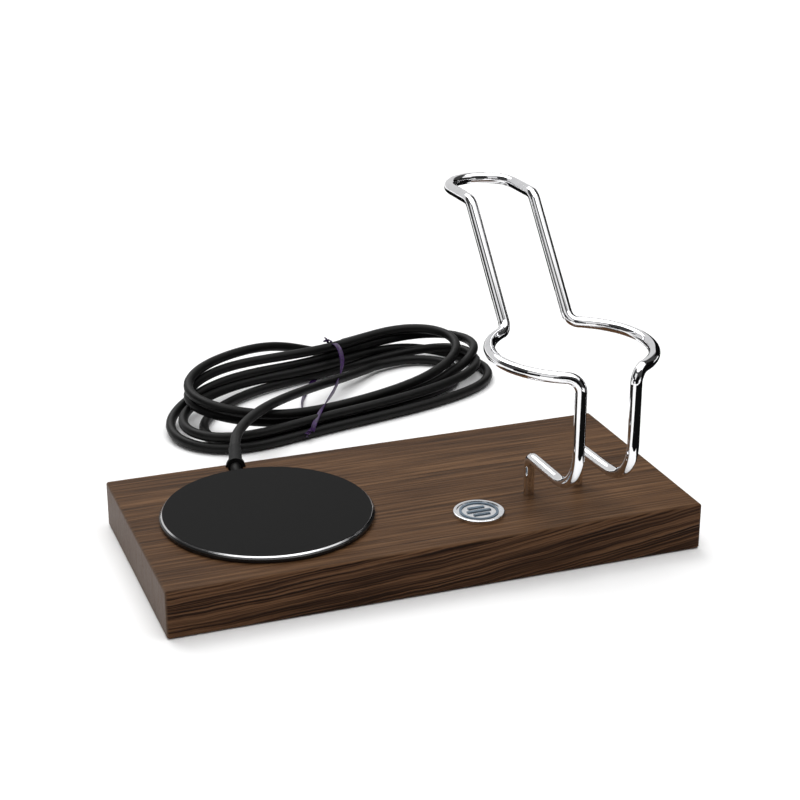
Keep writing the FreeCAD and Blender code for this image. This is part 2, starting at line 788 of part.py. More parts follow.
def stadium(sketch, half_length, half_width, shift="0"):
    """A closed outline of two straight sides and two half-round ends."""
    width = size(half_width)
    across = size(half_length) - width
    top = Part.LineSegment(Vector(-across, width, 0), Vector(across, width, 0))
    bottom = Part.LineSegment(Vector(across, -width, 0), Vector(-across, -width, 0))
    right = Part.ArcOfCircle(Part.Circle(Vector(across, 0, 0), Vector(0, 0, 1), width),
                             -math.pi / 2, math.pi / 2)
    left = Part.ArcOfCircle(Part.Circle(Vector(-across, 0, 0), Vector(0, 0, 1), width),
                            math.pi / 2, 3 * math.pi / 2)
    upper, lower, east, west = (sketch.addGeometry(item, False)
                                for item in (top, bottom, right, left))
    add = sketch.addConstraint
    add(Sketcher.Constraint("Tangent", upper, 2, east, 2))
    add(Sketcher.Constraint("Tangent", east, 1, lower, 1))
    add(Sketcher.Constraint("Tangent", lower, 2, west, 2))
    add(Sketcher.Constraint("Tangent", west, 1, upper, 1))
    add(Sketcher.Constraint("Horizontal", upper))
    add(Sketcher.Constraint("Radius", east, width))
    bind_last(sketch, f"sizes.{half_width}")
    add(Sketcher.Constraint("DistanceX", -1, 1, east, 3, across))
    bind_last(sketch, f"sizes.{half_length} - sizes.{half_width}")
    add(Sketcher.Constraint("DistanceX", west, 3, -1, 1, across))
    bind_last(sketch, f"sizes.{half_length} - sizes.{half_width}")
    add(Sketcher.Constraint("DistanceY", -1, 1, east, 3, 0))
    bind_last(sketch, shift)


def turn_with_hank(body):
    """Stand a body in the hank's frame."""
    body.Placement.Rotation = Rotation(Vector(0, 0, 1), size("hank_turn"))
    bind_place(body, "sizes.hank_x", "sizes.hank_y")


def make_hank():
    """The outer shape of the tied turns: an oval ring on the bench, lower at its front."""
    body = new_body("lead_hank")
    turn_with_hank(body)
    outline = new_sketch(body, "hank_outline")
    stadium(outline, "hank_half_length", "hank_half_width")
    stadium(outline, "hole_half_length", "hole_half_width", "sizes.hole_shift")
    extrude(body, "Pad", outline, "hank_ring", "sizes.hank_back")
    slope = new_sketch(body, "slope_outline", role="YZ_Plane")
    above = "sizes.hank_back + sizes.cut_margin"
    add_polygon(slope, [("-sizes.hank_half_width - sizes.cut_margin", "sizes.hank_front"),
                        ("sizes.hank_half_width", "sizes.hank_back"),
                        ("sizes.hank_half_width", above),
                        ("-sizes.hank_half_width - sizes.cut_margin", above)])
    shave = body.newObject("PartDesign::Pocket", "sloped_top")
    shave.Profile = slope
    shave.Midplane = True
    shave.setExpression("Length", "3 * sizes.hank_half_length")
    doc.recompute()
    return body


def make_tie():
    """A flat wired tie closed round both sides of the hank, slanting across it."""
    front = Vector(size("tie_front_x"), -size("hank_half_width"), 0)
    back = Vector(size("tie_back_x"), size("hank_half_width"), 0)
    across = back - front
    slant = math.degrees(math.atan2(across.y, across.x))
    turned = Rotation(Vector(0, 0, 1), size("hank_turn"))
    corner = Vector(size("hank_x"), size("hank_y"), 0) + turned.multVec(front)
    span = across.Length
    wall = size("tie_thick")
    outer = [(0, 0), (span, 0), (span, size("hank_back")), (0, size("hank_front"))]
    inner = [(wall, wall), (span - wall, wall), (span - wall, size("hank_back") - wall),
             (wall, size("hank_front") - wall)]
    faces = []
    for outline in (outer, inner):
        ring = [Vector(along, 0, up) for along, up in outline]
        faces.append(Part.Face(Part.makePolygon(ring + ring[:1])))
    band = faces[0].cut(faces[1]).extrude(Vector(0, size("tie_width"), 0))
    tie = doc.addObject("Part::Feature", "twist_tie")
    tie.Label = "twist_tie"
    tie.Shape = Part.Solid(band.Solids[0])
    tie.Placement = Placement(corner, Rotation(Vector(0, 0, 1), slant + size("hank_turn")))
    return tie


def plug_placement(along):
    """The plug's axis lies on the bench behind the hank; along is the distance from its tail."""
    turned = Rotation(Vector(0, 0, 1), size("hank_turn"))
    tail = turned.multVec(Vector(size("plug_tail_x"), size("plug_tail_y"), 0))
    heading = Rotation(Vector(0, 0, 1), size("hank_turn") + size("plug_turn"))
    start = Vector(size("hank_x"), size("hank_y"), size("plug_radius")) + tail
    start += heading.multVec(Vector(along, 0, 0))
    return Placement(start, heading.multiply(Rotation(Vector(0, 1, 0), 90)))


def make_plug():
    """Moulded plug body with a tapered tail, turned about its own axis."""
    body = new_body("lead_plug")
    profile = new_sketch(body, "plug_profile", role="XZ_Plane")
    nose = "sizes.plug_tail_length + sizes.plug_length"
    add_polygon(profile, [
        ("0", "0"),
        ("sizes.plug_tail_radius", "0"),
        ("sizes.plug_tail_radius + sizes.plug_tail_flare", "sizes.plug_tail_length"),
        ("sizes.plug_radius", "sizes.plug_tail_length"),
        ("sizes.plug_radius", f"{nose} - sizes.plug_nose"),
        ("sizes.plug_radius - sizes.plug_nose", nose),
        ("0", nose),
    ])
    turned = body.newObject("PartDesign::Revolution", "turned_plug")
    turned.Profile = profile
    turned.ReferenceAxis = (profile, ["V_Axis"])
    turned.Angle = 360
    doc.recompute()
    body.Placement = plug_placement(0)
    return body


def make_plug_barrel():
    """The plug's metal barrel, a tube with a collar that meets the moulding."""
    body = new_body("plug_barrel")
    profile = new_sketch(body, "barrel_profile", role="XZ_Plane")
    add_polygon(profile, [
        ("sizes.barrel_bore", "0"),
        ("sizes.barrel_radius + sizes.barrel_collar_rise", "0"),
        ("sizes.barrel_radius + sizes.barrel_collar_rise", "sizes.barrel_collar"),
        ("sizes.barrel_radius", "sizes.barrel_collar"),
        ("sizes.barrel_radius", "sizes.barrel_length"),
        ("sizes.barrel_bore", "sizes.barrel_length"),
    ])
    turned = body.newObject("PartDesign::Revolution", "turned_barrel")
    turned.Profile = profile
    turned.ReferenceAxis = (profile, ["V_Axis"])
    turned.Angle = 360
    doc.recompute()
    body.Placement = plug_placement(size("plug_tail_length") + size("plug_length"))
    return body


# ---------------------------------------------------------------- everything


def check_document():
    for item in doc.Objects:
        bad = {"Invalid", "Error"} & set(item.State)
        if bad:
            raise RuntimeError(f"{item.Name}: {bad}")


def write_parts(parts):
    os.makedirs("parts", exist_ok=True)
    for part in parts:
        shape = part.Shape
        if shape.isNull() or not shape.isValid():
            raise RuntimeError(f"{part.Label} has no valid shape")
        shape.exportStep(os.path.join("parts", f"{part.Label}.step"))
        print(f"{part.Label}: {len(shape.Solids)} solid(s), {shape.Volume:.0f} mm3")


fill_sheet()
inner_lead = make_inner_lead()
parts = [
    make_board(),
    make_rest_plate(),
    make_plate_facing(),
    make_gasket(),
    make_heater(),
    make_insulator(),
    make_thermal_cutout(),
    make_plate_screws(),
    make_terminal_block(),
    make_terminal_screws(),
    make_cord_clamp(),
    make_clamp_screws(),
    make_badge(),
    make_badge_inlay(),
    make_cradle(),
    make_sleeve(inner_lead),
    inner_lead,
    make_lead_tube(),
    make_hank(),
    make_tie(),
    make_plug(),
    make_plug_barrel(),
]
doc.recompute()
check_document()
write_parts(parts)
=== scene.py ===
import math

import bmesh
import bpy
from mathutils import Matrix, Vector
from mathutils.kdtree import KDTree


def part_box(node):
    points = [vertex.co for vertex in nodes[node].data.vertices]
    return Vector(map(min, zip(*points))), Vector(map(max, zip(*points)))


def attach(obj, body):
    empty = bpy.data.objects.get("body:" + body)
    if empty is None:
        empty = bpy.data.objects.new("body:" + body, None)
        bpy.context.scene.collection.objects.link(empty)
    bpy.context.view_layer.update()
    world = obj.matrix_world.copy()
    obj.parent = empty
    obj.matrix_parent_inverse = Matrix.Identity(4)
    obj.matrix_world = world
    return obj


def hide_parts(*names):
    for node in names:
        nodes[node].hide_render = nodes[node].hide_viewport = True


# Bench stand with a rest plate, a wire cradle and a tied lead. Metres, in the CAD frame.

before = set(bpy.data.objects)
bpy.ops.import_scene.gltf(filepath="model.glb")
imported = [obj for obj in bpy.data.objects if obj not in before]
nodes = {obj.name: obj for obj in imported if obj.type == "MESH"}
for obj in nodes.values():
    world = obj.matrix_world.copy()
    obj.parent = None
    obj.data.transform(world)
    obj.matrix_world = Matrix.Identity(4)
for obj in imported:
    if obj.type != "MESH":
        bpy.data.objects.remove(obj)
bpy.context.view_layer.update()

MM = 0.001

# ---------------------------------------------------------------- objects and camera


def add_object(name, data):
    """A new object that holds the data, linked to the scene."""
    made = bpy.data.objects.new(name, data)
    bpy.context.scene.collection.objects.link(made)
    return made


def set_facing(thing, place, aim, axis):
    """Put a thing at a place, with one of its own axes towards its aim."""
    thing.location = place
    thing.rotation_euler = (Vector(aim) - Vector(place)).to_track_quat(axis, "Y").to_euler()


CAMERA_PLACE = (-0.2539, -0.6905, 0.3584)
CAMERA_AIM = (0.0568, 0.1544, 0.0)


def add_camera():
    """A short telephoto looking down on the stand from its front left."""
    data = bpy.data.cameras.new("camera")
    data.lens = 82.0
    data.sensor_width = 36.0
    data.clip_start = 0.05
    data.clip_end = 40.0
    camera = add_object("camera", data)
    set_facing(camera, CAMERA_PLACE, CAMERA_AIM, "-Z")
    bpy.context.scene.camera = camera


# ---------------------------------------------------------------- shader helpers


class Shader:
    """A small builder for one node tree."""

    def __init__(self, tree):
        self.tree = tree

    def node(self, kind, **settings):
        made = self.tree.nodes.new(kind)
        for name, value in settings.items():
            setattr(made, name, value)
        return made

    def link(self, source, target):
        self.tree.links.new(source, target)

    def feed(self, socket, value):
        """Link an output, or set a constant."""
        if isinstance(value, bpy.types.NodeSocket):
            self.link(value, socket)
        else:
            socket.default_value = value

    def math(self, operation, a, b=0.0, clamp=False):
        made = self.node("ShaderNodeMath", operation=operation, use_clamp=clamp)
        self.feed(made.inputs[0], a)
        self.feed(made.inputs[1], b)
        return made.outputs[0]

    def coords(self, scale, turn=(0, 0, 0)):
        """The object's own coordinates, scaled and turned."""
        place = self.node("ShaderNodeTexCoord")
        mapping = self.node("ShaderNodeMapping")
        mapping.inputs["Scale"].default_value = scale
        mapping.inputs["Rotation"].default_value = turn
        self.link(place.outputs["Object"], mapping.inputs["Vector"])
        return mapping.outputs["Vector"]

    def noise(self, vector, detail=3.0, roughness=0.55):
        """Noise whose size comes from the vector's own scale."""
        made = self.node("ShaderNodeTexNoise")
        self.link(vector, made.inputs["Vector"])
        made.inputs["Scale"].default_value = 1.0
        made.inputs["Detail"].default_value = detail
        made.inputs["Roughness"].default_value = roughness
        return made.outputs["Fac"]

    def ramp(self, factor, stops):
        """Colours along a factor, from (place, colour) stops."""
        made = self.node("ShaderNodeValToRGB")
        elements = made.color_ramp.elements
        while len(elements) < len(stops):
            elements.new(0.5)
        for element, (place, colour) in zip(elements, stops):
            element.position = place
            element.color = (*colour, 1.0)
        self.link(factor, made.inputs["Fac"])
        return made.outputs["Color"]

    def blend(self, factor, a, b, mode="MIX"):
        made = self.node("ShaderNodeMix", data_type="RGBA", blend_type=mode)
        self.feed(made.inputs["Factor"], factor)
        self.feed(made.inputs["A"], a)
        self.feed(made.inputs["B"], b)
        return made.outputs["Result"]

    def span(self, factor, low, high):
        """Stretch a 0 to 1 factor to low to high."""
        made = self.node("ShaderNodeMapRange")
        self.link(factor, made.inputs["Value"])
        made.inputs["To Min"].default_value = low
        made.inputs["To Max"].default_value = high
        return made.outputs["Result"]

    def bump(self, height, distance, strength=1.0):
        made = self.node("ShaderNodeBump")
        made.inputs["Distance"].default_value = distance
        made.inputs["Strength"].default_value = strength
        self.link(height, made.inputs["Height"])
        return made.outputs["Normal"]


def new_material(name):
    """A material, its builder and its Principled shader."""
    material = bpy.data.materials.new(name)
    material.use_nodes = True
    tree = material.node_tree
    shader = Shader(tree)
    return material, shader, tree.nodes["Principled BSDF"]


def paint(piece, material):
    piece.data.materials.clear()
    piece.data.materials.append(material)


# ---------------------------------------------------------------- materials

# The board's growth layers: how they climb towards the right-hand end (a slope, and how fast it
# steepens), how they tilt to the back, how far they sway, how fine they are in height, and how
# quickly they change along the board and across it.
LAYER_SLOPE = 0.085
LAYER_STEEPENING = 0.26
LAYER_TILT = 0.13
LAYER_SWAY = 0.0034
LAYER_FINENESS = 1200.0
LAYER_CHANGE_ALONG = 12.0
LAYER_CHANGE_ACROSS = 30.0
# Stops of the wood's tones, each a place on its noise and a colour.
LONG_FACE_TONES = [(0.34, (0.013, 0.0055, 0.0026)), (0.47, (0.043, 0.0190, 0.0090)),
                   (0.62, (0.128, 0.0640, 0.0320))]
TOP_TONES = [(0.34, (0.034, 0.0165, 0.0072)), (0.50, (0.080, 0.0400, 0.0185)),
             (0.66, (0.138, 0.0740, 0.0365))]
BROAD_TONES = [(0.30, (0.74, 0.71, 0.70)), (0.70, (1.16, 1.16, 1.15))]
# The end faces' tones: their end grain, painted lighter and greyer as a painted sheen.
END_GRAIN_AND_SHEEN_TONES = [(0.30, (0.090, 0.058, 0.041)), (0.70, (0.128, 0.086, 0.062))]
PORE_TONES = [(0.28, (0.50, 0.48, 0.47)), (0.38, (1.0, 1.0, 1.0))]
PORE_SHARE = 0.7
# How much each pattern adds to the wood's relief, and the relief's depth in metres.
LAYER_RELIEF = 1.6
STREAK_RELIEF = 0.45
PORE_RELIEF = 0.25
WOOD_RELIEF_DEPTH = 0.0006


def wood_material():
    """Dark open-grained wood: fine streaks on top, bolder ridged layers on the long faces; end
    faces lighter and greyer, with a painted sheen.
    """
    material, s, shader = new_material("dark_wood")
    place = s.node("ShaderNodeTexCoord").outputs["Object"]
    split = s.node("ShaderNodeSeparateXYZ")
    s.link(place, split.inputs[0])
    x, y, z = split.outputs
    slope = s.math("ADD", s.math("MULTIPLY", x, LAYER_STEEPENING), LAYER_SLOPE)
    climb = s.math("MULTIPLY", x, slope)
    sway = s.noise(s.coords((26, 60, 60)), detail=3.0)
    level = s.math("ADD", s.math("SUBTRACT", z, climb), s.math("MULTIPLY", sway, LAYER_SWAY))
    level = s.math("ADD", level, s.math("MULTIPLY", y, LAYER_TILT))
    join = s.node("ShaderNodeCombineXYZ")
    s.feed(join.inputs[0], s.math("MULTIPLY", x, LAYER_CHANGE_ALONG))
    s.feed(join.inputs[1], s.math("MULTIPLY", y, LAYER_CHANGE_ACROSS))
    s.feed(join.inputs[2], s.math("MULTIPLY", level, LAYER_FINENESS))
    layers = s.noise(join.outputs[0], detail=2.5, roughness=0.5)
    streaks = s.noise(s.coords((13, 560, 90), (0, 0, 0.012)), detail=4.0, roughness=0.66)
    broad = s.noise(s.coords((3, 42, 20), (0, 0, 0.02)), detail=2.0)
    pores = s.noise(s.coords((60, 1500, 1500)), detail=2.0)

    normal = s.node("ShaderNodeNewGeometry").outputs["Normal"]
    facing = s.node("ShaderNodeSeparateXYZ")
    s.link(normal, facing.inputs[0])
    to_side = s.math("POWER", s.math("ABSOLUTE", facing.outputs[1]), 2.0, clamp=True)
    to_end = s.math("POWER", s.math("ABSOLUTE", facing.outputs[0]), 2.0, clamp=True)

    side = s.ramp(layers, LONG_FACE_TONES)
    top = s.blend(1.0, s.ramp(streaks, TOP_TONES), s.ramp(broad, BROAD_TONES), "MULTIPLY")
    # The end faces take lighter, greyer tones: their grain with a painted sheen.
    ends = s.ramp(s.noise(s.coords((300, 420, 900)), detail=3.0), END_GRAIN_AND_SHEEN_TONES)
    colour = s.blend(to_side, top, side)
    colour = s.blend(to_end, colour, ends)
    specks = s.ramp(pores, PORE_TONES)
    colour = s.blend(PORE_SHARE, colour, s.blend(1.0, colour, specks, "MULTIPLY"))
    s.link(colour, shader.inputs["Base Color"])
    s.link(s.span(streaks, 0.34, 0.58), shader.inputs["Roughness"])
    on_sides = s.math("MULTIPLY", layers, s.math("MULTIPLY", to_side, LAYER_RELIEF))
    all_over = s.math("ADD", s.math("MULTIPLY", streaks, STREAK_RELIEF),
                      s.math("MULTIPLY", pores, PORE_RELIEF))
    relief = s.math("ADD", on_sides, all_over)
    s.link(s.bump(relief, WOOD_RELIEF_DEPTH, 0.85), shader.inputs["Normal"])
    shader.inputs["Specular IOR Level"].default_value = 0.06
    return material


def plain_material(name, colour, rough, metal=0.0, grain=(900, 900, 900), depth=0.00004,
                   mottle=0.12, specular=0.5):
    """A surface with fine grain, slight mottling and a little variation in its gloss."""
    material, s, shader = new_material(name)
    fine = s.noise(s.coords(grain), detail=4.0, roughness=0.65)
    wide = s.noise(s.coords((70, 70, 70)), detail=3.0)
    low = tuple(c * (1 - mottle) for c in colour)
    high = tuple(min(1.0, c * (1 + mottle)) for c in colour)
    s.link(s.ramp(wide, [(0.30, low), (0.70, high)]), shader.inputs["Base Color"])
    s.link(s.span(fine, rough * 0.82, min(1.0, rough * 1.18)), shader.inputs["Roughness"])
    s.link(s.bump(fine, depth), shader.inputs["Normal"])
    shader.inputs["Metallic"].default_value = metal
    shader.inputs["Specular IOR Level"].default_value = specular
    return material


def chrome_material():
    """Bright plating with faint handling marks in its gloss."""
    material, s, shader = new_material("bright_chrome")
    smears = s.noise(s.coords((60, 60, 25)), detail=5.0, roughness=0.7)
    shade = s.ramp(smears, [(0.35, (0.80, 0.80, 0.82)), (0.65, (0.92, 0.92, 0.93))])
    s.link(shade, shader.inputs["Base Color"])
    s.link(s.span(smears, 0.015, 0.075), shader.inputs["Roughness"])
    shader.inputs["Metallic"].default_value = 1.0
    return material


def turned_material(name, centre, colour, rough, pitch):
    """Metal turned or brushed in circles about an upright axis."""
    material, s, shader = new_material(name)
    place = s.node("ShaderNodeTexCoord").outputs["Object"]
    shift = s.node("ShaderNodeVectorMath", operation="SUBTRACT")
    s.link(place, shift.inputs[0])
    shift.inputs[1].default_value = (*centre, 0)
    flat = s.node("ShaderNodeVectorMath", operation="MULTIPLY")
    s.link(shift.outputs[0], flat.inputs[0])
    flat.inputs[1].default_value = (1, 1, 0)
    reach = s.node("ShaderNodeVectorMath", operation="LENGTH")
    s.link(flat.outputs[0], reach.inputs[0])
    join = s.node("ShaderNodeCombineXYZ")
    s.feed(join.inputs[0], s.math("MULTIPLY", reach.outputs["Value"], 1 / pitch))
    rings = s.noise(join.outputs[0], detail=4.0, roughness=0.7)
    low = tuple(c * 0.86 for c in colour)
    s.link(s.ramp(rings, [(0.3, low), (0.7, colour)]), shader.inputs["Base Color"])
    s.link(s.span(rings, rough * 0.6, rough * 1.5), shader.inputs["Roughness"])
    s.link(s.bump(rings, 0.00003), shader.inputs["Normal"])
    shader.inputs["Metallic"].default_value = 1.0
    return material


# How far down from the facing's top the plate's polished line reaches, in metres.
POLISHED_RIM = 0.0006


def plate_material(centre, bright_from):
    """Turned metal with a polished line at the top of its rim, painted near black below it as
    painted shade.
    """
    material = turned_material("polished_plate", centre, (0.80, 0.80, 0.81), 0.14, 0.0002)
    s = Shader(material.node_tree)
    shader = material.node_tree.nodes["Principled BSDF"]
    split = s.node("ShaderNodeSeparateXYZ")
    s.link(s.node("ShaderNodeTexCoord").outputs["Object"], split.inputs[0])
    polished = s.math("GREATER_THAN", split.outputs[2], bright_from)
    metal = shader.inputs["Base Color"].links[0].from_socket
    # Below the polished line the plate is painted near black: painted shade under its bright
    # rim.
    s.link(s.blend(polished, (0.012, 0.012, 0.012, 1), metal), shader.inputs["Base Color"])
    s.link(polished, shader.inputs["Metallic"])
    return material


def facing_material():
    """Fine matt black coating with a trace of dust and rubbing."""
    material, s, shader = new_material("matt_black_facing")
    fine = s.noise(s.coords((2200, 2200, 2200)), detail=3.0, roughness=0.6)
    rubbed = s.noise(s.coords((40, 26, 10), (0, 0, 0.5)), detail=5.0, roughness=0.6)
    shade = s.ramp(rubbed, [(0.30, (0.0048, 0.0048, 0.0048)), (0.72, (0.0074, 0.0074, 0.0073))])
    s.link(shade, shader.inputs["Base Color"])
    s.link(s.span(rubbed, 0.50, 0.66), shader.inputs["Roughness"])
    s.link(s.bump(fine, 0.00002), shader.inputs["Normal"])
    shader.inputs["Specular IOR Level"].default_value = 0.05
    return material


def jacket_material():
    """Soft black cable jacket: low sheen, fine grain and faint scuffs."""
    material, s, shader = new_material("lead_jacket")
    fine = s.noise(s.coords((1400, 1400, 1400)), detail=3.0, roughness=0.6)
    scuff = s.noise(s.coords((120, 120, 120)), detail=5.0, roughness=0.7)
    shade = s.ramp(scuff, [(0.35, (0.0028, 0.0028, 0.0028)), (0.70, (0.0062, 0.0060, 0.0056))])
    s.link(shade, shader.inputs["Base Color"])
    s.link(s.span(scuff, 0.36, 0.58), shader.inputs["Roughness"])
    s.link(s.bump(fine, 0.00003), shader.inputs["Normal"])
    shader.inputs["Specular IOR Level"].default_value = 0.17
    return material


def tie_material():
    """Purple plastic drawn over two wire cores, with darker patches of painted shade standing
    for shade in its creases.
    """
    material, s, shader = new_material("purple_tie")
    crease_pattern_with_shade = s.noise(s.coords((700, 700, 700)), detail=4.0)
    # The darker end of this ramp is painted shade, in random patches that stand for the creases.
    shade = s.ramp(crease_pattern_with_shade, [(0.35, (0.012, 0.0015, 0.026)), (0.68, (0.044, 0.007, 0.095))])
    s.link(shade, shader.inputs["Base Color"])
    s.link(s.span(crease_pattern_with_shade, 0.30, 0.50), shader.inputs["Roughness"])
    s.link(s.bump(crease_pattern_with_shade, 0.00008), shader.inputs["Normal"])
    shader.inputs["Specular IOR Level"].default_value = 0.3
    return material


def middle_of(node):
    """A CAD node's centre, seen from above."""
    low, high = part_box(node)
    return tuple((low[i] + high[i]) / 2 for i in (0, 1))


def paint_cad_nodes():
    """Give each CAD node that stays in view its own finish."""
    plate_middle = middle_of("plate_facing")
    badge_middle = middle_of("badge_disc")
    rim_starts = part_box("plate_facing")[1][2] - POLISHED_RIM
    finishes = {
        "base_board": wood_material(),
        "rest_plate": plate_material(plate_middle, rim_starts),
        "plate_facing": facing_material(),
        "plate_gasket": plain_material("gasket_rubber", (0.016, 0.016, 0.016), 0.7),
        "film_heater": plain_material("amber_film", (0.42, 0.16, 0.04), 0.35, depth=0.00002),
        "insulator": plain_material("pressed_fibre", (0.50, 0.45, 0.36), 0.85,
                                    grain=(500, 500, 1500), depth=0.0002),
        "thermal_cutout": plain_material("bright_steel_can", (0.58, 0.58, 0.60), 0.3,
                                         metal=1.0),
        "plate_screws": plain_material("zinc_steel", (0.60, 0.60, 0.62), 0.32, metal=1.0),
        "clamp_screws": plain_material("zinc_steel_small", (0.60, 0.60, 0.62), 0.32,
                                       metal=1.0),
        "terminal_block": plain_material("natural_nylon", (0.70, 0.68, 0.62), 0.5),
        "terminal_screws": plain_material("plain_brass", (0.72, 0.52, 0.24), 0.3,
                                          metal=1.0),
        "cord_clamp": plain_material("white_nylon", (0.72, 0.71, 0.67), 0.5),
        "badge_disc": turned_material("brushed_badge", badge_middle, (0.86, 0.87, 0.89), 0.20,
                                      0.00025),
        "badge_inlay": plain_material("grey_blue_enamel", (0.085, 0.125, 0.165), 0.25,
                                      mottle=0.25),
        "wire_cradle": chrome_material(),
        "cord_sleeve": plain_material("sleeve_rubber", (0.0045, 0.0045, 0.0045), 0.6,
                                      depth=0.00008, specular=0.17),
        "inner_lead": jacket_material(),
        "plug_barrel": plain_material("nickel_barrel", (0.66, 0.64, 0.60), 0.22, metal=1.0,
                                      depth=0.00002),
    }
    finishes["lead_plug"] = finishes["cord_sleeve"]
    for name, material in finishes.items():
        paint(nodes[name], material)
    return finishes


# ---------------------------------------------------------------- the lead

# The route's own points, from the sleeve's tip to the hank's inner back strand.
LEAD_ROUTE = [
    (-0.0557, 0.0725, 0.0213),
    (-0.0526, 0.0845, 0.0213),
    (-0.0460, 0.0973, 0.0212),
    (-0.0368, 0.1106, 0.0205),
    (-0.0260, 0.1241, 0.0188),
    (-0.0136, 0.1374, 0.0164),
    (0.0004, 0.1508, 0.0136),
    (0.0156, 0.1644, 0.0104),
    (0.0314, 0.1774, 0.0072),
    (0.0472, 0.1897, 0.0048),
    (0.0588, 0.1980, 0.0039),
]
LEAD_DIAMETER = 0.005
# How the turns are evened out: the spacing of their points, the sharpest bend that the cord
# takes willingly, and how far a point lies off its neighbours' middle there.
STEP = 0.006
EASY_BEND = 0.030
EASY_SAG = STEP ** 2 / (2 * EASY_BEND)
SETTLE_PASSES = 260
# The share of that distance which one pass takes away, at an easy bend and at a kink.
EASE_LEAST = 0.03
EASE_MOST = 0.9
# Points nearer than this many diameters along the cord are one strand, not two.
SAME_STRAND = 4
# How many points stay put at the start of the turns, and at their end.
START_HELD = 3
END_HELD = 2
# The cord's least height above the bench, in metres.
BENCH_GAP = 0.0001

# The hank's frame: its middle on the bench, and its turn about Z.
HANK = Matrix.Translation((0.027, 0.168, 0)) @ Matrix.Rotation(math.radians(17), 4, "Z")

# Each turn's rightmost, front, leftmost and back places in the hank's frame, in millimetres.
RIGHT = [(81, 0, 2.6), (95, 3, 7.0), (92, -8, 2.6), (102, 6, 11.5), (86, 9, 17.5)]
FRONT = [(10, -32, 2.6), (10, -35.5, 7.4), (22, -41, 2.6), (0, -25, 3.2), (0, -27.5, 8.6)]
LEFT = [(-94, -20, 2.6), (-102, -14, 7.6), (-104, 2, 2.8), (-89, 12, 12.2), (-88, 4, 17.5)]
BACK = [(6, 35, 3.0), (2, 39, 7.6), (-2, 38, 13.0), (-8, 42, 18.0), (-24, 43.0, 22.5)]
# How square each turn is between those places: 1 is a plain ellipse, less is squarer.
SQUARE_BACK_RIGHT = [0.78, 0.92, 0.62, 0.78, 0.78]
SQUARE_FRONT_RIGHT = [0.8, 0.8, 0.6, 0.8, 0.8]
SQUARE_FRONT_LEFT = [0.62, 0.62, 0.52, 0.9, 1.0]
SQUARE_BACK_LEFT = [0.9, 0.85, 0.8, 0.75, 0.75]
# Where the tie holds each strand, as (y, z), and where along the hank that is.
HELD_BACK = [(22.5, 2.8), (28, 2.8), (23, 8.0), (28.5, 8.0), (26.0, 14.2)]
HELD_FRONT = [(-27, 2.6), (-29.5, 7.4), (-32.5, 2.6), (-21.5, 2.8), (-24.5, 7.6)]
TIE_BACK_X = 14.0
TIE_FRONT_X = -36.0
# How firmly the tie holds a strand, how far along each side that is felt, and what counts as
# the front side.
HOLD = 0.9
HOLD_REACH_BACK = 30
HOLD_REACH_FRONT = 26
FRONT_SIDE_Y = -14
# How many points a quarter turn has to begin with.
QUARTER_STEPS = 5
# Where the lead joins the first turn, and its last stretch up to the plug.
FIRST_BACK = (52, 22.5, 3.4)
LAST_STRETCH = [(-6, 45.4, 20.0), (8, 47.8, 12.5), (18, 49.4, 6.6), (30, 50, 5.2)]


def quarter(start, end, along_first, square):
    """Points of a quarter turn; along_first says that it leaves start along X."""
    points = []
    for step in range(QUARTER_STEPS):
        angle = math.pi / 2 * step / QUARTER_STEPS
        leading = math.sin(angle) ** square
        trailing = 1 - math.cos(angle) ** square
        share_x, share_y = (leading, trailing) if along_first else (trailing, leading)
        share_z = (1 - math.cos(2 * angle)) / 2
        points.append((start[0] + (end[0] - start[0]) * share_x,
                       start[1] + (end[1] - start[1]) * share_y,
                       start[2] + (end[2] - start[2]) * share_z))
    return points


def held(point, tie_x, reach, slot):
    """Draw a point towards its strand's slot in the tied bundle."""
    pull = HOLD * math.exp(-((point[0] - tie_x) / reach) ** 2)
    return (point[0], point[1] + (slot[0] - point[1]) * pull,
            point[2] + (slot[1] - point[2]) * pull)


def hank_points():
    """The cord's turns, clockwise from above, in the hank's frame."""
    points = []
    back = FIRST_BACK
    for turn in range(len(RIGHT)):
        arriving = quarter(back, RIGHT[turn], True, SQUARE_BACK_RIGHT[turn])
        points += [held(p, TIE_BACK_X, HOLD_REACH_BACK, HELD_BACK[turn]) for p in arriving]
        loop = quarter(RIGHT[turn], FRONT[turn], False, SQUARE_FRONT_RIGHT[turn])
        loop += quarter(FRONT[turn], LEFT[turn], True, SQUARE_FRONT_LEFT[turn])
        points += [held(p, TIE_FRONT_X, HOLD_REACH_FRONT, HELD_FRONT[turn])
                   if p[1] < FRONT_SIDE_Y else p for p in loop]
        leaving = quarter(LEFT[turn], BACK[turn], False, SQUARE_BACK_LEFT[turn])
        if turn + 1 < len(RIGHT):
            leaving = [held(p, TIE_BACK_X, HOLD_REACH_BACK, HELD_BACK[turn + 1])
                       for p in leaving]
        points += leaving
        back = BACK[turn]
    return points + [back] + LAST_STRETCH


def in_hank(point):
    """A point of the hank's frame, in millimetres, as a place in metres."""
    return HANK @ (Vector(point) * MM)


def evenly(points, step):
    """The same path with evenly spaced points, about a step apart."""
    runs = [(end - start).length for start, end in zip(points, points[1:])]
    gap = sum(runs) / round(sum(runs) / step)
    spaced = [points[0]]
    owed = gap
    for start, end, run in zip(points, points[1:], runs):
        while owed < run:
            spaced.append(start.lerp(end, owed / run))
            owed += gap
        owed -= run
    if (spaced[-1] - points[-1]).length > gap / 2:
        spaced.append(points[-1])
    return spaced


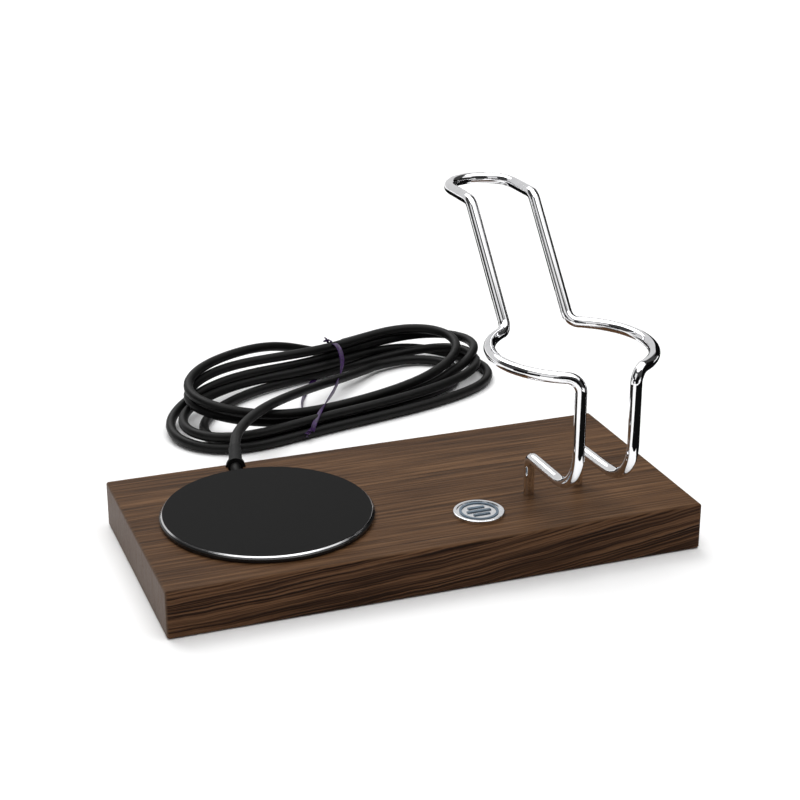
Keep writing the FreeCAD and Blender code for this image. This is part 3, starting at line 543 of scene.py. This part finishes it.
def settled(lead, turns):
    """The turns after sharp bends have eased and strands that overlap have been parted.

    The lead itself stays as it is: it is only something for the turns to keep clear of.
    """
    fixed = evenly(lead[:-1], STEP)
    path = evenly(lead[-2:] + turns, STEP)
    apart = round(SAME_STRAND * LEAD_DIAMETER / STEP)
    for _ in range(SETTLE_PASSES):
        tree = KDTree(len(fixed) + len(path))
        for number, point in enumerate(fixed + path):
            tree.insert(point, number)
        tree.balance()
        moves = []
        for number, point in enumerate(path):
            move = Vector()
            for other, index, distance in tree.find_range(point, LEAD_DIAMETER):
                if abs(index - len(fixed) - number) > apart:
                    move += (point - other).normalized() * (LEAD_DIAMETER - distance) / 2
            moves.append(move)
        for number in range(START_HELD, len(path) - END_HELD):
            sag = (path[number - 1] + path[number + 1]) / 2 - path[number]
            share = EASE_LEAST
            if sag.length >= EASY_SAG:
                share = EASE_MOST - (EASE_MOST - EASE_LEAST) * EASY_SAG / sag.length
            path[number] += moves[number] + sag * share
            path[number].z = max(path[number].z, LEAD_DIAMETER / 2 + BENCH_GAP)
    return path[START_HELD + 1:]


def make_cord(material):
    """The whole lead as one smooth curve: its free stretch, then the turns of the hank."""
    data = bpy.data.curves.new("lead_cord", "CURVE")
    data.dimensions = "3D"
    data.bevel_depth = LEAD_DIAMETER / 2
    data.bevel_resolution = 5
    data.resolution_u = 5
    data.use_fill_caps = True
    lead = [Vector(p) for p in LEAD_ROUTE]
    points = lead + settled(lead, [in_hank(p) for p in hank_points()])
    spline = data.splines.new("NURBS")
    spline.points.add(len(points) - 1)
    for item, point in zip(spline.points, points):
        item.co = (*point, 1.0)
    spline.order_u = 3
    spline.use_endpoint_u = True
    data.materials.append(material)
    cord = add_object("lead_cord", data)
    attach(cord, "stand")
    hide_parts("lead_tube", "lead_hank")
    return cord


# ---------------------------------------------------------------- meshes


def mesh_piece(name, build, material):
    """A mesh piece from a function that fills a bmesh; it rides on the stand."""
    data = bpy.data.meshes.new(name)
    shape = bmesh.new()
    build(shape)
    bmesh.ops.recalc_face_normals(shape, faces=shape.faces)
    shape.to_mesh(data)
    shape.free()
    for face in data.polygons:
        face.use_smooth = True
    data.materials.append(material)
    piece = add_object(name, data)
    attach(piece, "stand")
    return piece


def loft(shape, rings, closed):
    """Faces between rings of vertices; closed joins the last ring to the first."""
    made = [[shape.verts.new(p) for p in ring] for ring in rings]
    pairs = list(zip(made, made[1:]))
    if closed:
        pairs.append((made[-1], made[0]))
    for near, far in pairs:
        for i in range(len(near)):
            j = (i + 1) % len(near)
            shape.faces.new((near[i], near[j], far[j], far[i]))
    if not closed:
        shape.faces.new(made[0])
        shape.faces.new(list(reversed(made[-1])))


# The tie's section across its width: two round wire cores joined by a thin web.
TIE_SECTION = [(-1.0, 0.0), (-0.88, 0.3), (-0.66, 0.32), (-0.48, 0.13), (0.48, 0.13),
               (0.66, 0.32), (0.88, 0.3), (1.0, 0.0), (0.88, -0.3), (0.66, -0.32),
               (0.48, -0.13), (-0.48, -0.13), (-0.66, -0.32), (-0.88, -0.3)]
TIE_HALF_WIDTH = 1.35
TIE_ACROSS = (1, -0.2, 0)
# The tie's way round both sides of the hank, in the hank's frame, in millimetres, with its roll
# in degrees: it lies flat against the strands and stands on edge across the gap.
TIE_PATH = [
    (21.0, 36.5, 11.0, 0), (20.2, 34.6, 15.6, 0), (18.8, 31.0, 18.2, 0), (17.6, 26.0, 18.9, 0),
    (16.6, 21.8, 17.6, 5), (15.9, 18.9, 14.2, 15), (14.2, 16.4, 10.2, 45), (10.5, 12.4, 8.0, 80),
    (2.0, 3.0, 8.2, 90), (-12.0, -12.0, 9.8, 90), (-22.0, -21.4, 11.2, 75),
    (-30.0, -28.4, 11.4, 40), (-37.0, -33.6, 9.4, 25), (-42.0, -36.8, 5.8, 15),
    (-43.6, -37.4, 2.2, 5), (-42.4, -35.0, 0.4, 0), (-36.5, -25.0, 0.4, 0),
    (-31.0, -14.0, 1.2, 60), (-24.6, 0.0, 1.7, 85), (-14.0, 12.0, 1.5, 75),
    (-2.0, 24.0, 0.7, 20), (9.0, 33.0, 0.4, 0), (17.5, 37.4, 0.8, 0), (20.6, 38.0, 4.6, 0),
]


def tie_shape(shape):
    """The tie's closed band, its section swept round its path."""
    across = Vector(TIE_ACROSS).normalized()
    path = [Vector(place[:3]) for place in TIE_PATH]
    rings = []
    for i, place in enumerate(TIE_PATH):
        ahead = (path[(i + 1) % len(path)] - path[i - 1]).normalized()
        level = (across - ahead * across.dot(ahead)).normalized()
        roll = math.radians(place[3])
        side = level * math.cos(roll) + ahead.cross(level) * math.sin(roll)
        out = ahead.cross(side)
        rings.append([in_hank(path[i] + side * a * TIE_HALF_WIDTH + out * b)
                      for a, b in TIE_SECTION])
    loft(shape, rings, closed=True)


# The twisted ends: how far each lies off their axis at the root, how much more at the tip, and
# half its width, in millimetres; then how many steps and turns each has.
TWIST_OFFSET = 0.55
TWIST_SPREAD = 0.5
TWIST_HALF_WIDTH = 0.85
TWIST_STEPS = 26
TWIST_TURNS = 0.8


def twist_shape(root, tip):
    """The tie's two ends twisted round each other, from root to tip in the hank's frame."""
    def build(shape):
        start = Vector(root)
        axis = Vector(tip) - start
        along = axis.normalized()
        side = along.cross(Vector((0.3, 0.2, 1))).normalized()
        other = along.cross(side)
        for strand in (0, math.pi):
            rings = []
            for step in range(TWIST_STEPS + 1):
                share = step / TWIST_STEPS
                angle = strand + TWIST_TURNS * 2 * math.pi * share
                flat = side * math.cos(angle) + other * math.sin(angle)
                edge = other * math.cos(angle) - side * math.sin(angle)
                offset = TWIST_OFFSET + TWIST_SPREAD * share * share
                middle = start + axis * share + flat * offset
                rings.append([in_hank(middle + edge * a * TWIST_HALF_WIDTH + flat * b)
                              for a, b in TIE_SECTION])
            loft(shape, rings, closed=False)
    return build


def smooth_more(piece, levels):
    """Round off a mesh piece by subdivision."""
    modifier = piece.modifiers.new("smooth", "SUBSURF")
    modifier.levels = levels
    modifier.render_levels = levels


# Each pair of twisted ends: its name, its root and its tip.
TWISTS = [
    ("tie_twist_back", (19.0, 33.0, 17.8), (15.2, 35.2, 20.0)),
    ("tie_twist_front", (-43.0, -36.6, 4.6), (-47.2, -38.4, 3.4)),
]


def make_tie():
    """The wired tie round both sides of the hank, and its twisted ends."""
    material = tie_material()
    tie = mesh_piece("hank_tie", tie_shape, material)
    smooth_more(tie, 2)
    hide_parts("twist_tie")
    pieces = [tie]
    for name, root, tip in TWISTS:
        twist = mesh_piece(name, twist_shape(root, tip), material)
        smooth_more(twist, 1)
        pieces.append(twist)
    return pieces


# ---------------------------------------------------------------- floor and light

FLOOR_SIDE = 60.0
FLOOR_DROP = 0.0002
WORLD_STRENGTH = 2.15
# The world's brightness by how high it is seen, as a sine, and the backdrop's by how far back.
CEILING = [(0.0, (0.02, 0.02, 0.02)), (0.79, (0.03, 0.03, 0.03)), (0.83, (0.95, 0.95, 0.95)),
           (1.0, (1.0, 1.0, 1.0))]
BACKDROP = [(0.62, (0.0, 0.0, 0.0)), (0.72, (0.30, 0.30, 0.30))]
LIGHT_AIM = (0.0, 0.05, 0.03)
SUN_FROM = (-0.15, 0.8, 1.0)
CARD_AIM = (0, 0, 0.1)
CARD_COLOUR = (0.004, 0.004, 0.004, 1)
# Standing cards: name, place, width and height. They face the stand.
STANDING_CARDS = [
    ("card_front", (-0.10, -0.50, 0.10), 0.55, 0.42),
    ("card_right", (0.52, -0.18, 0.16), 0.50, 0.56),
    ("card_far_right", (0.50, 0.34, 0.10), 0.30, 0.42),
    ("card_left", (-0.46, -0.10, 0.10), 0.36, 0.42),
]
# Cards on the floor: name, place, width and depth. They face straight up.
FLOOR_CARDS = [
    ("card_floor_back", (0.15, 0.48, 0.001), 1.1, 0.44),
    ("card_floor_right", (0.44, -0.05, 0.001), 0.60, 0.60),
    ("card_floor_front", (0.10, -0.28, 0.001), 0.26, 0.26),
]


def add_rectangle(name, width, height, material):
    """A flat rectangle of stage, which isn't part of the object."""
    data = bpy.data.meshes.new(name)
    w, h = width / 2, height / 2
    data.from_pydata([(-w, -h, 0), (w, -h, 0), (w, h, 0), (-w, h, 0)], [], [(0, 1, 2, 3)])
    data.materials.append(material)
    rectangle = add_object(name, data)
    return rectangle


def make_floor():
    """A pale, almost even floor just below the board."""
    material, s, shader = new_material("pale_floor")
    shade = s.ramp(s.noise(s.coords((3, 3, 3))), [(0.3, (0.93, 0.93, 0.93)),
                                                  (0.7, (0.95, 0.95, 0.95))])
    s.link(shade, shader.inputs["Base Color"])
    shader.inputs["Roughness"].default_value = 0.9
    shader.inputs["Specular IOR Level"].default_value = 0.1
    floor = add_rectangle("floor", FLOOR_SIDE, FLOOR_SIDE, material)
    floor.location.z = -FLOOR_DROP


def add_area_light(name, place, width, height, power):
    """A soft rectangular light that faces the stand."""
    data = bpy.data.lights.new(name, "AREA")
    data.shape = "RECTANGLE"
    data.size = width
    data.size_y = height
    data.energy = power
    set_facing(add_object(name, data), place, LIGHT_AIM, "-Z")


def add_back_light():
    """A broad light from high behind, which gives the soft shadows in front."""
    data = bpy.data.lights.new("back_light", "SUN")
    data.energy = 1.15
    data.angle = 0.7
    lamp = add_object("back_light", data)
    lamp.rotation_euler = Vector(SUN_FROM).to_track_quat("Z", "Y").to_euler()


def make_dark_card(name, place, aim, width, height):
    """A dark panel seen only by shiny surfaces, for the chrome to reflect."""
    material, _, shader = new_material(f"{name}_cloth")
    shader.inputs["Base Color"].default_value = CARD_COLOUR
    shader.inputs["Roughness"].default_value = 0.9
    shader.inputs["Specular IOR Level"].default_value = 0.0
    card = add_rectangle(name, width, height, material)
    set_facing(card, place, aim, "Z")
    card.visible_camera = False
    card.visible_diffuse = False
    card.visible_shadow = False


def make_world():
    """A studio with a bright ceiling, a pale backdrop and dark walls."""
    world = bpy.data.worlds.new("studio")
    bpy.context.scene.world = world
    world.use_nodes = True
    s = Shader(world.node_tree)
    background = world.node_tree.nodes["Background"]
    split = s.node("ShaderNodeSeparateXYZ")
    s.link(s.node("ShaderNodeTexCoord").outputs["Generated"], split.inputs[0])
    ceiling = s.ramp(split.outputs[2], CEILING)
    backdrop = s.ramp(split.outputs[1], BACKDROP)
    s.link(s.blend(1.0, ceiling, backdrop, "ADD"), background.inputs["Color"])
    background.inputs["Strength"].default_value = WORLD_STRENGTH


def make_studio():
    """Floor, world, lights and cards."""
    make_floor()
    make_world()
    add_area_light("key", (0.9, -0.5, 1.5), 1.3, 1.3, 5.2)
    add_area_light("fill", (-1.3, -0.7, 0.9), 1.2, 1.0, 3)
    add_back_light()
    for name, place, width, height in STANDING_CARDS:
        make_dark_card(name, place, CARD_AIM, width, height)
    for name, place, width, depth in FLOOR_CARDS:
        make_dark_card(name, place, (place[0], place[1], 1), width, depth)
    bpy.context.scene.view_settings.view_transform = "Standard"


# ---------------------------------------------------------------- everything

add_camera()
finishes = paint_cad_nodes()
cord = make_cord(finishes["inner_lead"])
tie_pieces = make_tie()
make_studio()
